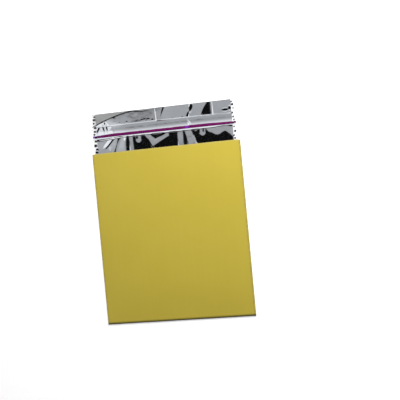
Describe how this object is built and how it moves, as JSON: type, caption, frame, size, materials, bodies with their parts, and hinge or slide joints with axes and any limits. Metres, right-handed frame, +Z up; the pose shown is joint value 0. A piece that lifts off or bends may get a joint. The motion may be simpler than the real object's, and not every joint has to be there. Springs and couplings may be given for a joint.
{
  "type": "zip mailer envelope",
  "caption": "Flat gold card mailer sleeve, closed at its sides and lower end, with a metallised film pouch standing out of its mouth and a press-together zip with a magenta line.",
  "frame": {"origin": "middle of the bounding box on the floor, under the mailer as it lies on its back", "axes": "+X across the mailer, +Y from the closed end to the mouth and the pouch's upper edge, +Z up out of the gold front panel"},
  "size_m": [0.15, 0.2132, 0.0044],
  "materials": {
    "gold_card": "satin",
    "front_film": "polished",
    "back_film": "satin",
    "zip_plastic": "gloss",
    "magenta_plastic": "gloss"
  },
  "bodies": {
    "root": {"outer_sleeve": "gold_card", "pouch_front_film": "front_film", "pouch_back_film": "back_film", "zip_groove_strip": "zip_plastic", "zip_rib_strip": "zip_plastic", "zip_colour_line": "magenta_plastic"}
  },
  "joints": []
}
